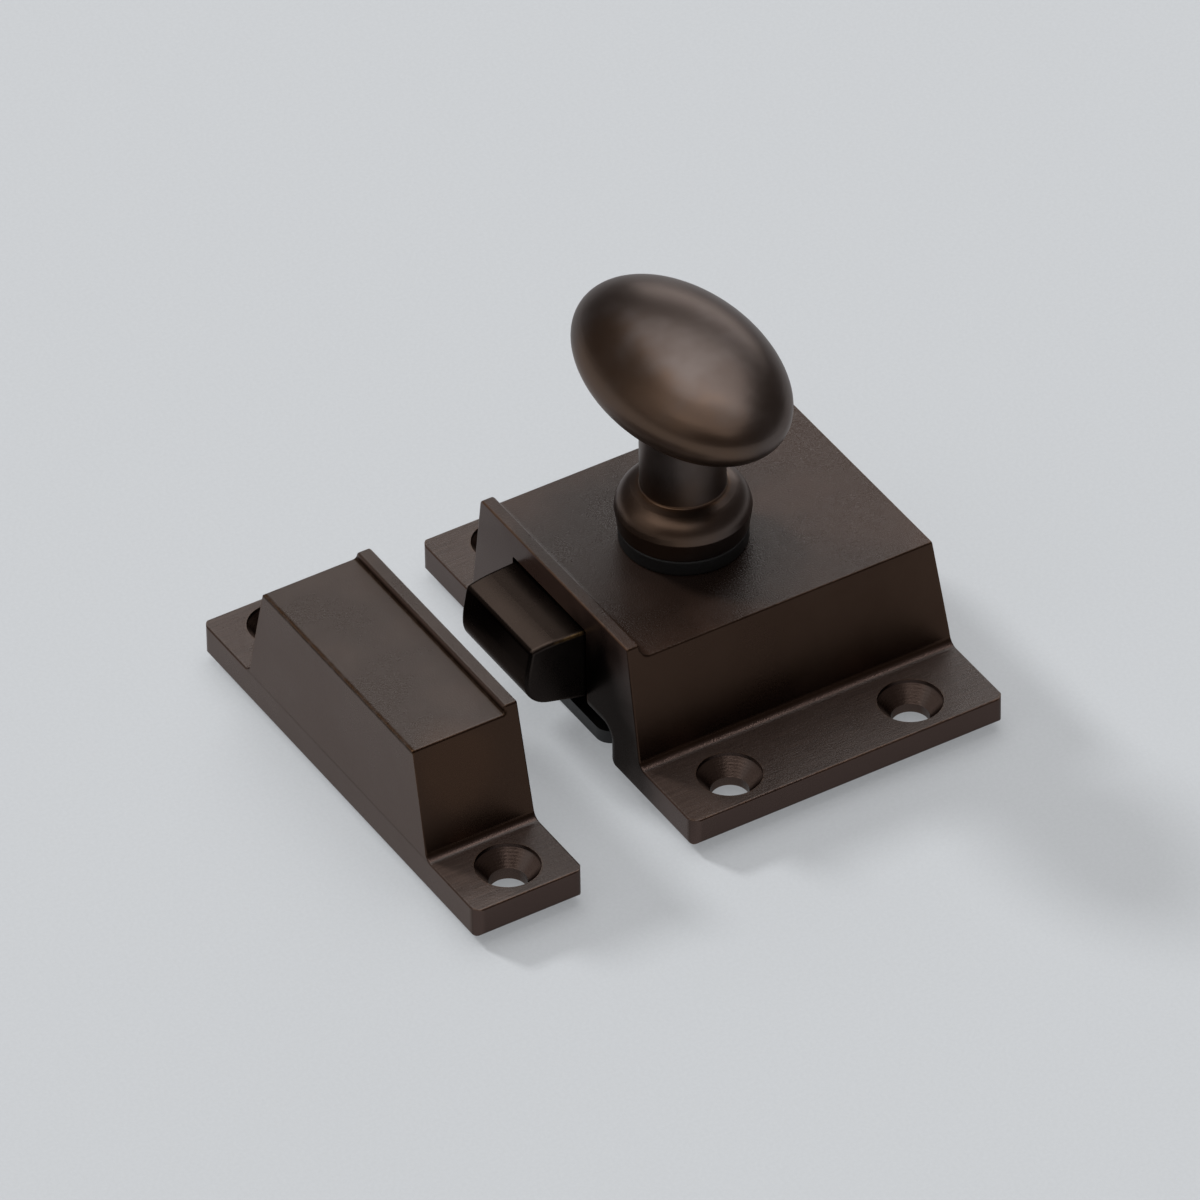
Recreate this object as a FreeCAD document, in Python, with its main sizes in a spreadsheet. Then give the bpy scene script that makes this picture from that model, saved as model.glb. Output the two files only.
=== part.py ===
import FreeCAD, Part
import math
import os
import Sketcher

# Cupboard catch latch: a surface latch with an oval turn knob, and its strike.
# Millimetres. Z stands up from the mounting plane and X runs from the strike to the case.
# Each piece is drawn with X counted from the case's front face, or about its own axis.
# Its placement then puts the origin at the middle of the case's four screw holes.

TOLERANCE = 0.001

DIMENSIONS = {
    # how far a feature starts inside what it joins, or a cut runs past what it cuts
    "overlap": 0.3,
    # the cast case, its lip along the front and its two screw flanges
    "case_length": 50.8,
    "case_depth": 35.6,
    "flange_thickness": 3.0,
    "lip_top": 16.3,
    "top_plate": 14.8,
    "lip_width": 1.45,
    "lip_cove": 1.1,
    "box_half_foot": 15.75,
    "box_half_lip": 13.6,
    "back_lean": 1.3,
    "root_fillet": 1.0,
    "edge_round": 0.45,
    "near_lip_round": 0.3,
    "far_lip_round": 0.6,
    "soft_edge": 0.25,
    "face_edge": 0.2,
    "corner_round": 1.1,
    # the hollow in the back of the case
    "front_wall": 2.2,
    "back_wall": 2.6,
    "side_wall": 2.3,
    "ceiling": 13.4,
    "cavity_round": 1.0,
    "mouth_side_gap": 0.3,
    "mouth_top_gap": 0.3,
    "notch_half": 9.3,
    "notch_top": 3.1,
    "notch_round": 0.6,
    "notch_foot_round": 1.8,
    "rail_thickness": 1.5,
    "rail_end": 24.0,
    "rail_rise": 0.3,
    "boss_radius": 1.8,
    "boss_inset": 2.97,
    "front_boss_inset": 3.4,
    "rear_boss_inset": 4.0,
    "pilot_depth": 5.5,
    "bearing_radius": 3.8,
    "bearing_drop": 0.6,
    # the wood screw holes
    "screw_hole": 1.9,
    "sink_radius": 3.25,
    "sink_step": 0.45,
    "sink_angle": 82.0,
    "case_hole_front": 6.9,
    "case_hole_apart": 20.6,
    "case_hole_end": 4.4,
    # the turned knob and the washer under it
    "knob_x": 14.8,
    "head_half_x": 8.85,
    "head_half_y": 14.5,
    "head_half_z": 5.65,
    "head_centre": 35.2,
    "neck_radius": 4.25,
    "neck_fillet": 0.25,
    "collar_radius": 6.75,
    "collar_height": 4.9,
    "collar_band": 2.15,
    "collar_taper": 0.3,
    # the dome's one bend, as shares of the ledge between the neck and the collar's edge
    "dome_inset": 0.17,
    "dome_drop": 0.36,
    "dome_bend": 1.0,
    "washer_thickness": 1.75,
    "washer_radius": 6.4,
    # the spindle, the cam on its square and the nut that holds it
    "journal_radius": 2.5,
    "running_gap": 0.05,
    "fixed_gap": 0.01,
    "thread_radius": 2.0,
    "thread_length": 9.0,
    "square_side": 3.5,
    "pivot_radius": 1.5,
    "pivot_rise": 0.3,
    "cam_thickness": 2.6,
    "cam_gap": 0.2,
    "cam_hub": 3.6,
    "cam_tip": 2.0,
    "cam_throw": 4.8,
    "pin_radius": 1.0,
    "pin_overrun": 0.2,
    "nut_thickness": 2.0,
    "nut_across_flats": 5.5,
    # the sliding bolt
    "bolt_travel": 6.0,
    "bolt_side": 0.8,
    "bolt_reach": 5.75,
    "bolt_half": 6.5,
    "nose_taper": 0.4,
    "bolt_top": 13.05,
    "bolt_bottom": 4.8,
    "nose_bow": 0.6,
    "bow_height": 9.6,
    "bow_radius": 8.0,
    "crown_drop": 0.35,
    "crown_length": 1.9,
    "crown_radius": 8.0,
    "nose_round": 0.6,
    "heel_rise": 1.4,
    "heel_radius": 3.0,
    "block_depth": 4.2,
    "web_top": 9.6,
    "web_bottom": 6.4,
    "runner_top": 4.8,
    "runner_half": 7.7,
    "runner_thickness": 2.6,
    "runner_gap": 0.1,
    "stop_gap": 0.05,
    "tail_end": 20.0,
    "tail_wall": 1.4,
    "window_gap": 0.3,
    "window_round": 0.8,
    "slot_gap": 0.25,
    # the spring behind the bolt and the spigots that hold it
    "wire_radius": 0.35,
    "coil_radius": 2.55,
    "coil_turns": 7.0,
    "spring_height": 6.4,
    "spigot_radius": 1.85,
    "spigot_length": 2.8,
    "spring_end_gap": 0.05,
    # the plate that closes the back, and its screws
    "plate_thickness": 1.5,
    "plate_gap": 0.25,
    "plate_front": 0.7,
    "tab_half": 8.2,
    "tab_round": 1.7,
    "plate_corner": 1.0,
    "small_screw": 1.0,
    "small_head": 1.9,
    "small_length": 5.5,
    "slot_width": 0.55,
    "slot_depth": 0.45,
    # the strike
    "strike_apart": 12.4,
    "strike_depth": 12.2,
    "strike_length": 51.6,
    "strike_flange": 3.3,
    "strike_plate": 14.8,
    "strike_lip": 0.9,
    "strike_lip_width": 1.5,
    "strike_cove": 0.3,
    "strike_plate_edge": 0.3,
    "strike_half_foot": 16.8,
    "strike_half_lip": 13.8,
    "strike_lean": 0.4,
    "strike_wall": 1.5,
    "strike_back_wall": 1.8,
    "strike_end_wall": 2.2,
    "strike_hole_inset": 6.25,
    "strike_hole_end": 4.35,
}


class Size:
    """A length with the sheet formula that gives it, so that sums of sizes stay linked."""

    def __init__(self, value, formula):
        self.value = float(value)
        self.formula = formula

    def joined(self, other, sign, value):
        return Size(value, f"({self.formula} {sign} {sized(other).formula})")

    def __add__(self, other):
        return self.joined(other, "+", self.value + sized(other).value)

    def __sub__(self, other):
        return self.joined(other, "-", self.value - sized(other).value)

    def __mul__(self, other):
        return self.joined(other, "*", self.value * sized(other).value)

    def __truediv__(self, other):
        return self.joined(other, "/", self.value / sized(other).value)

    def __radd__(self, other):
        return sized(other) + self

    def __rsub__(self, other):
        return sized(other) - self

    def __rmul__(self, other):
        return sized(other) * self

    def __neg__(self):
        return Size(-self.value, f"(0 - {self.formula})")


class Sizes:
    """The driving dimensions, each one an attribute linked to its cell in the sheet."""

    def __init__(self, document, dimensions):
        sheet = document.addObject("Spreadsheet::Sheet", "Sizes")
        for row, (name, value) in enumerate(dimensions.items(), start=1):
            sheet.set(f"A{row}", name)
            sheet.set(f"B{row}", str(value))
            sheet.setAlias(f"B{row}", name)
            setattr(self, name, Size(value, f"Sizes.{name}"))


def sized(number):
    return number if isinstance(number, Size) else Size(number, repr(float(number)))


def bind(thing, path, size):
    """Sets a property from a size and keeps it linked to the sheet."""
    thing.setExpression(path, sized(size).formula)


def root_of(size):
    return Size(math.sqrt(size.value), f"sqrt({size.formula})")


def new_body(label, x=0.0, y=0.0, z=0.0):
    """A body whose place is linked to the sheet, with the origin at the screw holes' middle."""
    body = doc.addObject("PartDesign::Body", label)
    body.Label = label
    middle = size.case_hole_front + size.case_hole_apart / 2
    bind(body, "Placement.Base.x", sized(x) - middle)
    bind(body, "Placement.Base.y", y)
    bind(body, "Placement.Base.z", z)
    return body


def new_sketch(body, name, plane="XY_Plane", lift=0.0):
    """A sketch on one of the body's own planes, lifted along that plane's normal."""
    sketch = body.newObject("Sketcher::SketchObject", name)
    support = [item for item in body.Origin.OriginFeatures if item.Role == plane][0]
    sketch.AttachmentSupport = [(support, "")]
    sketch.MapMode = "FlatFace"
    sketch.AttachmentOffset = FreeCAD.Placement(
        FreeCAD.Vector(0, 0, sized(lift).value), FreeCAD.Rotation()
    )
    bind(sketch, "AttachmentOffset.Base.z", lift)
    return sketch


def pin_point(sketch, geometry, end, x, y):
    """Holds a point of the sketch at its own X and Y."""
    for kind, axis, number in (("DistanceX", -2, sized(x)), ("DistanceY", -1, sized(y))):
        if number.formula == "0.0":
            sketch.addConstraint(Sketcher.Constraint("PointOnObject", geometry, end, axis))
        else:
            rule = Sketcher.Constraint(kind, -1, 1, geometry, end, number.value)
            index = sketch.addConstraint(rule)
            bind(sketch, f"Constraints[{index}]", number)


def add_outline(sketch, corners, rounds=None):
    """Closed straight lines through the corners; rounds gives some corners a radius."""
    rounds = rounds or {}
    points = [FreeCAD.Vector(sized(x).value, sized(y).value, 0) for x, y in corners]
    count = len(points)
    starts = list(points)
    ends = list(points)
    turns = {}
    for index, radius in rounds.items():
        before = (points[index - 1] - points[index]).normalize()
        after = (points[(index + 1) % count] - points[index]).normalize()
        half = before.getAngle(after) / 2
        reach = sized(radius).value / math.tan(half)
        ends[index] = points[index] + before * reach
        starts[index] = points[index] + after * reach
        middle = (before + after).normalize() * (sized(radius).value / math.sin(half))
        turns[index] = (points[index] + middle, after.cross(before).z > 0)
    first = sketch.GeometryCount
    for index in range(count):
        following = (index + 1) % count
        sketch.addGeometry(Part.LineSegment(starts[index], ends[following]), False)
    for index, (x, y) in enumerate(corners):
        line_in = first + (index - 1) % count
        line_out = first + index
        if index not in rounds:
            sketch.addConstraint(Sketcher.Constraint("Coincident", line_in, 2, line_out, 1))
            pin_point(sketch, line_out, 1, x, y)
            continue
        centre, leftwards = turns[index]
        from_point, to_point = ends[index], starts[index]
        if not leftwards:
            from_point, to_point = to_point, from_point
        first_angle = math.atan2(from_point.y - centre.y, from_point.x - centre.x)
        last_angle = math.atan2(to_point.y - centre.y, to_point.x - centre.x)
        circle = Part.Circle(centre, FreeCAD.Vector(0, 0, 1), sized(rounds[index]).value)
        arc = sketch.addGeometry(Part.ArcOfCircle(circle, first_angle, last_angle), False)
        arc_in, arc_out = (1, 2) if leftwards else (2, 1)
        sketch.addConstraint(Sketcher.Constraint("Tangent", line_in, 2, arc, arc_in))
        sketch.addConstraint(Sketcher.Constraint("Tangent", arc, arc_out, line_out, 1))
        rule = Sketcher.Constraint("Radius", arc, sized(rounds[index]).value)
        bind(sketch, f"Constraints[{sketch.addConstraint(rule)}]", rounds[index])
        corner = sketch.addGeometry(Part.Point(points[index]), True)
        sketch.addConstraint(Sketcher.Constraint("PointOnObject", corner, 1, line_in))
        sketch.addConstraint(Sketcher.Constraint("PointOnObject", corner, 1, line_out))
        pin_point(sketch, corner, 1, x, y)


def add_rectangle(sketch, low_x, high_x, low_y, high_y, rounds=None):
    corners = [(low_x, low_y), (high_x, low_y), (high_x, high_y), (low_x, high_y)]
    add_outline(sketch, corners, rounds)


def add_circle(sketch, x, y, radius):
    centre = FreeCAD.Vector(sized(x).value, sized(y).value, 0)
    circle = Part.Circle(centre, FreeCAD.Vector(0, 0, 1), sized(radius).value)
    index = sketch.addGeometry(circle, False)
    pin_point(sketch, index, 3, x, y)
    rule = sketch.addConstraint(Sketcher.Constraint("Radius", index, sized(radius).value))
    bind(sketch, f"Constraints[{rule}]", radius)


def solid_now(body):
    doc.recompute()
    if body.Tip.Shape.isNull():
        raise RuntimeError(f"{body.Tip.Name} left {body.Label} with no shape")
    return body.Tip.Shape


def add_pad(body, name, sketch, length, backwards=False, both_ways=False):
    """Adds material from the sketch, along its normal unless told otherwise."""
    feature = body.newObject("PartDesign::Pad", name)
    feature.Profile = sketch
    feature.Reversed = backwards
    feature.SideType = "Symmetric" if both_ways else "One side"
    bind(feature, "Length", length)
    body.Tip = feature
    doc.recompute()
    return feature


def add_pocket(body, name, sketch, length=None, forwards=False, both_ways=False):
    """Cuts against the sketch's normal unless told otherwise; no length cuts right through."""
    volume = solid_now(body).Volume
    feature = body.newObject("PartDesign::Pocket", name)
    feature.Profile = sketch
    feature.Reversed = forwards
    feature.SideType = "Symmetric" if both_ways else "One side"
    if length is None:
        feature.Type = "ThroughAll"
    else:
        bind(feature, "Length", length)
    body.Tip = feature
    if solid_now(body).Volume > volume - TOLERANCE:
        raise RuntimeError(f"{name} cut nothing from {body.Label}")
    return feature


def add_turning(body, name, sketch):
    """Turns a half profile drawn on the XZ plane about the body's Z axis."""
    feature = body.newObject("PartDesign::Revolution", name)
    feature.Profile = sketch
    feature.ReferenceAxis = (sketch, ["V_Axis"])
    body.Tip = feature
    doc.recompute()
    return feature


def add_fillet(body, name, radius, wanted):
    """Rounds the edges whose bounding boxes the test accepts."""
    shape = solid_now(body)
    base = body.Tip
    names = [f"Edge{i}" for i, edge in enumerate(shape.Edges, start=1) if wanted(edge.BoundBox)]
    if not names:
        raise RuntimeError(f"{name} found no edge on {body.Label}")
    feature = body.newObject("PartDesign::Fillet", name)
    feature.Base = (base, names)
    bind(feature, "Radius", radius)
    body.Tip = feature
    doc.recompute()
    return feature


def near(number, size_or_number):
    return abs(number - sized(size_or_number).value) < TOLERANCE


def at_x(box, x):
    return near(box.XMin, x) and near(box.XMax, x)


def at_z(box, z):
    return near(box.ZMin, z) and near(box.ZMax, z)


def add_copy(body, name, axis, distance):
    """Repeats the whole body once, at a distance along one of its axes."""
    feature = body.newObject("PartDesign::LinearPattern", name)
    feature.TransformMode = "Whole shape"
    line = [item for item in body.Origin.OriginFeatures if item.Role == axis][0]
    feature.Direction = (line, [""])
    feature.Occurrences = 2
    bind(feature, "Length", distance)
    body.Tip = feature
    doc.recompute()
    return feature


def add_screw_holes(body, name, places, face):
    """Countersunk holes: a straight step at the face, the cone and the hole through."""
    step = new_sketch(body, f"{name}_step_circles", lift=face)
    centres = new_sketch(body, f"{name}_circles", lift=face - size.sink_step)
    for x, y in places:
        add_circle(step, x, y, size.sink_radius)
        add_circle(centres, x, y, size.screw_hole)
    add_pocket(body, f"{name}_step", step, size.sink_step)
    volume = solid_now(body).Volume
    hole = body.newObject("PartDesign::Hole", name)
    hole.Profile = centres
    hole.ThreadType = "None"
    hole.DepthType = "ThroughAll"
    hole.HoleCutType = "Countersink"
    hole.HoleCutCustomValues = True
    bind(hole, "Diameter", size.screw_hole * 2)
    bind(hole, "HoleCutDiameter", size.sink_radius * 2)
    bind(hole, "HoleCutCountersinkAngle", size.sink_angle)
    body.Tip = hole
    if solid_now(body).Volume > volume - TOLERANCE:
        raise RuntimeError(f"{name} cut nothing from {body.Label}")


doc = FreeCAD.newDocument("cupboard_latch")
size = Sizes(doc, DIMENSIONS)

# sizes that more than one piece shares, worked out from the sheet
mouth_half = size.bolt_half + size.mouth_side_gap
mouth_top = size.bolt_top + size.mouth_top_gap
back_face = size.case_depth - size.back_wall
bearing_bottom = size.ceiling - size.bearing_drop
cam_top = bearing_bottom - size.cam_gap
cam_bottom = cam_top - size.cam_thickness
washer_top = size.top_plate + size.washer_thickness
runner_bottom = size.plate_thickness + size.runner_gap
window_half = size.cam_hub + size.window_gap
half_travel = size.bolt_travel / 2
pin_side = root_of(size.cam_throw * size.cam_throw - half_travel * half_travel)
pin_x = size.knob_x - half_travel
strike_inner = -size.strike_apart
strike_outer = strike_inner - size.strike_depth
front_boss = size.front_wall + size.front_boss_inset
rear_boss = back_face - size.rear_boss_inset


def leaning_half(half_foot, half_lip, foot, lip, height):
    """Half width of a leaning end wall at a height between its foot and its lip."""
    return half_foot - (half_foot - half_lip) * (sized(height) - foot) / (lip - foot)


def cavity_half(height):
    """Half width of the case's hollow at a height: the outside less the wall."""
    outside = leaning_half(
        size.box_half_foot, size.box_half_lip, size.flange_thickness, size.lip_top, height
    )
    return outside - size.side_wall


boss_side = cavity_half(size.plate_thickness) - size.boss_inset
boss_places = [(x, y) for x in (front_boss, rear_boss) for y in (-boss_side, boss_side)]


def strike_cavity_half(height):
    """Half width of the strike's hollow at a height: the outside less its end wall."""
    outside = leaning_half(
        size.strike_half_foot, size.strike_half_lip, size.strike_flange,
        size.strike_plate + size.strike_lip, height,
    )
    return outside - size.strike_end_wall


def add_flanged_block(body, start, depth, half, flange, half_foot, half_lip, lip):
    """A leaning box on two flanges, drawn from the end and drawn out along X."""
    profile = new_sketch(body, "flanged_profile", "YZ_Plane", start)
    corners = [
        (-half, 0),
        (half, 0),
        (half, flange),
        (half_foot, flange),
        (half_lip, lip),
        (-half_lip, lip),
        (-half_foot, flange),
        (-half, flange),
    ]
    rounds = {i: size.edge_round for i in (0, 1)}
    rounds.update({i: size.soft_edge for i in (2, 7)})
    rounds.update({4: size.far_lip_round, 5: size.near_lip_round})
    rounds.update({i: size.root_fillet for i in (3, 6)})
    add_outline(profile, corners, rounds)
    add_pad(body, "flanged_block", profile, depth)
    end = start + depth
    add_fillet(body, "face_edges", size.face_edge, lambda box: at_x(box, start) or at_x(box, end))

    # the upright corners of the flanges
    corner = new_sketch(body, "corner_outline")
    over = size.corner_round
    rounds = {i: size.corner_round for i in range(4)}
    add_rectangle(corner, start, end, -half, half, rounds)
    add_rectangle(corner, start - over, end + over, -half - over, half + over)
    add_pocket(body, "rounded_corners", corner, forwards=True)


def soften_plate(body, lip_back, plate, lip, radius):
    """A radius round the sides of the lowered top plate and along the back of the lip."""
    def plate_edge(box):
        side = at_z(box, plate) and near(box.YMin, box.YMax)
        lip_edge = at_x(box, lip_back) and at_z(box, lip)
        return side or lip_edge

    add_fillet(body, "plate_edges", radius, plate_edge)


def make_case():
    """The casting: a leaning box on two flanges, with a lip along its front edge."""
    body = new_body("latch_case")
    add_flanged_block(
        body, 0, size.case_depth, size.case_length / 2, size.flange_thickness,
        size.box_half_foot, size.box_half_lip, size.lip_top,
    )

    # the top is lowered behind the lip, which meets it in a cove
    over = size.lip_top + 1
    beyond = size.case_depth + 1
    top = new_sketch(body, "lowered_top_profile", "XZ_Plane")
    add_rectangle(top, size.lip_width, beyond, size.top_plate, over, {0: size.lip_cove})
    add_pocket(body, "lowered_top", top, both_ways=True)

    # the back wall leans forward above the flanges
    lean = new_sketch(body, "leaning_back_profile", "XZ_Plane")
    corners = [
        (size.case_depth, size.flange_thickness),
        (beyond, size.flange_thickness),
        (beyond, over),
        (size.case_depth - size.back_lean, over),
    ]
    add_outline(lean, corners)
    add_pocket(body, "leaning_back", lean, both_ways=True)
    soften_plate(body, size.lip_width, size.top_plate, size.lip_top, size.soft_edge)

    # the hollow, open at the back
    hollow = new_sketch(body, "hollow_profile", "YZ_Plane", size.front_wall)
    corners = [
        (-cavity_half(0), 0),
        (cavity_half(0), 0),
        (cavity_half(size.ceiling), size.ceiling),
        (-cavity_half(size.ceiling), size.ceiling),
    ]
    add_outline(hollow, corners, {2: size.cavity_round, 3: size.cavity_round})
    add_pocket(body, "hollow", hollow, back_face - size.front_wall, forwards=True)

    # the way out for the bolt, open downwards, and the wider notch for the plate's tab
    low, high = size.bolt_side - mouth_half, size.bolt_side + mouth_half
    mouth = new_sketch(body, "mouth_profile", "YZ_Plane")
    add_rectangle(mouth, low, high, 0, mouth_top, {2: size.soft_edge, 3: size.soft_edge})
    add_pocket(body, "bolt_mouth", mouth, size.front_wall, forwards=True)
    notch = new_sketch(body, "notch_profile", "YZ_Plane")
    rounds = {2: size.notch_round, 3: size.notch_round}
    add_rectangle(notch, -size.notch_half, size.notch_half, 0, size.notch_top, rounds)
    add_pocket(body, "front_notch", notch, size.front_wall, forwards=True)

    def notch_foot(box):
        in_wall = near(box.YMin, box.YMax) and box.XMax < size.front_wall.value + TOLERANCE
        return at_z(box, 0) and in_wall and near(abs(box.YMin), size.notch_half)

    add_fillet(body, "notch_feet", size.notch_foot_round, notch_foot)

    # rails beside the bolt, bosses for the plate's screws, the spindle's bearing
    ceiling = size.ceiling + size.overlap
    rail_bottom = size.bolt_bottom + size.rail_rise
    rails = new_sketch(body, "rail_outlines", lift=rail_bottom)
    start = size.front_wall - size.overlap
    add_rectangle(rails, start, size.rail_end, low - size.rail_thickness, low)
    add_rectangle(rails, start, size.rail_end, high, high + size.rail_thickness)
    add_pad(body, "bolt_rails", rails, ceiling - rail_bottom)
    bosses = new_sketch(body, "boss_circles", lift=size.plate_thickness)
    pilots = new_sketch(body, "pilot_circles", lift=size.plate_thickness)
    for x, y in boss_places:
        add_circle(bosses, x, y, size.boss_radius)
        add_circle(pilots, x, y, size.small_screw + size.fixed_gap)
    add_pad(body, "screw_bosses", bosses, ceiling - size.plate_thickness)
    add_pocket(body, "pilot_holes", pilots, size.pilot_depth, forwards=True)
    bearing = new_sketch(body, "bearing_circle", lift=bearing_bottom)
    add_circle(bearing, size.knob_x, 0, size.bearing_radius)
    add_pad(body, "spindle_bearing", bearing, ceiling - bearing_bottom)
    bore = new_sketch(body, "spindle_bore_circle", lift=size.top_plate)
    add_circle(bore, size.knob_x, 0, size.journal_radius + size.running_gap)
    add_pocket(body, "spindle_bore", bore, size.top_plate - bearing_bottom + size.overlap)
    spigot = new_sketch(body, "spigot_circle", "YZ_Plane", back_face)
    add_circle(spigot, size.bolt_side, size.spring_height, size.spigot_radius)
    add_pad(body, "spring_spigot", spigot, size.spigot_length, backwards=True)

    side = size.case_length / 2 - size.case_hole_end
    places = [
        (x, y)
        for x in (size.case_hole_front, size.case_hole_front + size.case_hole_apart)
        for y in (-side, side)
    ]
    add_screw_holes(body, "case_screw_holes", places, size.flange_thickness)
    return body


def make_knob():
    """Oval head, neck and collar in one piece, bored from below for the spindle."""
    body = new_body("turn_knob", x=size.knob_x)
    head = body.newObject("PartDesign::AdditiveEllipsoid", "oval_head")
    bind(head, "Radius1", size.head_half_z)
    bind(head, "Radius2", size.head_half_x)
    bind(head, "Radius3", size.head_half_y)
    bind(head, "Placement.Base.z", size.head_centre)
    body.Tip = head
    neck_foot = washer_top + size.collar_height
    ledge = size.collar_radius - size.neck_radius
    stem = new_sketch(body, "stem_profile", "XZ_Plane")
    corners = [
        (0, washer_top),
        (size.collar_radius - size.collar_taper, washer_top),
        (size.collar_radius, washer_top + size.collar_band),
        (size.collar_radius - ledge * size.dome_inset, neck_foot - ledge * size.dome_drop),
        (size.neck_radius, neck_foot),
        (size.neck_radius, size.head_centre),
        (0, size.head_centre),
    ]
    rounds = {
        1: size.soft_edge,
        2: size.soft_edge,
        3: ledge * size.dome_bend,
        4: size.neck_fillet,
    }
    add_outline(stem, corners, rounds)
    add_turning(body, "stem", stem)
    bore = new_sketch(body, "knob_bore_circle", lift=washer_top)
    add_circle(bore, 0, 0, size.thread_radius + size.fixed_gap)
    add_pocket(body, "knob_bore", bore, size.thread_length + size.fixed_gap, forwards=True)
    return body


def make_washer():
    """The black washer that the collar turns on."""
    body = new_body("knob_washer", x=size.knob_x, z=size.top_plate)
    profile = new_sketch(body, "washer_profile", "XZ_Plane")
    inner = size.journal_radius + size.running_gap
    rounds = {1: size.soft_edge, 2: size.soft_edge}
    add_rectangle(profile, inner, size.washer_radius, 0, size.washer_thickness, rounds)
    add_turning(body, "washer_ring", profile)
    return body


def make_spindle():
    """Steel spindle: threaded end, journal, square for the cam, and the lower pivot."""
    body = new_body("spindle", x=size.knob_x)
    profile = new_sketch(body, "spindle_profile", "XZ_Plane")
    tip = washer_top + size.thread_length
    corners = [
        (0, size.pivot_rise),
        (size.pivot_radius, size.pivot_rise),
        (size.pivot_radius, cam_top),
        (size.journal_radius, cam_top),
        (size.journal_radius, washer_top),
        (size.thread_radius, washer_top),
        (size.thread_radius, tip),
        (0, tip),
    ]
    add_outline(profile, corners)
    add_turning(body, "turned_spindle", profile)
    square = new_sketch(body, "square_outline", lift=cam_bottom)
    side = size.square_side / 2
    add_rectangle(square, -side, side, -side, side)
    add_pad(body, "cam_square", square, size.cam_thickness)
    return body


def make_cam():
    """The arm on the spindle's square, with the hole for its drive pin."""
    body = new_body("retractor_cam", x=size.knob_x)
    hub = new_sketch(body, "hub_circle", lift=cam_bottom)
    add_circle(hub, 0, 0, size.cam_hub)
    add_pad(body, "cam_hub", hub, size.cam_thickness)
    tip = new_sketch(body, "tip_circle", lift=cam_bottom)
    add_circle(tip, -half_travel, pin_side, size.cam_tip)
    add_pad(body, "cam_tip", tip, size.cam_thickness)

    # the flanks run tangent from the hub to the tip
    along_x, along_y = -half_travel / size.cam_throw, pin_side / size.cam_throw
    lean = (size.cam_hub - size.cam_tip) / size.cam_throw
    square_on = root_of(1 - lean * lean)
    corners = []
    for x, y, radius, side in (
        (0, 0, size.cam_hub, -1),
        (0, 0, size.cam_hub, 1),
        (-half_travel, pin_side, size.cam_tip, 1),
        (-half_travel, pin_side, size.cam_tip, -1),
    ):
        out_x = along_x * lean + along_y * square_on * side
        out_y = along_y * lean - along_x * square_on * side
        corners.append((x + out_x * radius, y + out_y * radius))
    flanks = new_sketch(body, "flank_outline", lift=cam_bottom)
    add_outline(flanks, corners)
    add_pad(body, "cam_flanks", flanks, size.cam_thickness)

    square = new_sketch(body, "square_hole_outline", lift=cam_top)
    side = size.square_side / 2 + size.fixed_gap
    add_rectangle(square, -side, side, -side, side)
    add_pocket(body, "square_hole", square)
    hole = new_sketch(body, "pin_hole_circle", lift=cam_top)
    add_circle(hole, -half_travel, pin_side, size.pin_radius + size.fixed_gap)
    add_pocket(body, "pin_hole", hole)
    return body


def make_pin():
    """The steel pin with which the cam pushes the bolt."""
    low = size.web_bottom - size.pin_overrun
    body = new_body("drive_pin", x=pin_x, y=pin_side, z=low)
    outline = new_sketch(body, "pin_circle")
    add_circle(outline, 0, 0, size.pin_radius)
    add_pad(body, "pin", outline, cam_top - low)
    return body


def make_nut():
    """The thin hexagon nut that holds the cam up against the spindle's shoulder."""
    body = new_body("cam_nut", x=size.knob_x, z=cam_bottom - size.nut_thickness)
    outline = new_sketch(body, "nut_outline")
    reach = size.nut_across_flats / math.sqrt(3)
    angles = [math.radians(60 * i) for i in range(6)]
    add_outline(outline, [(reach * math.cos(a), reach * math.sin(a)) for a in angles])
    add_circle(outline, 0, 0, size.pivot_radius + size.fixed_gap)
    add_pad(body, "nut", outline, size.nut_thickness)
    return body


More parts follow.
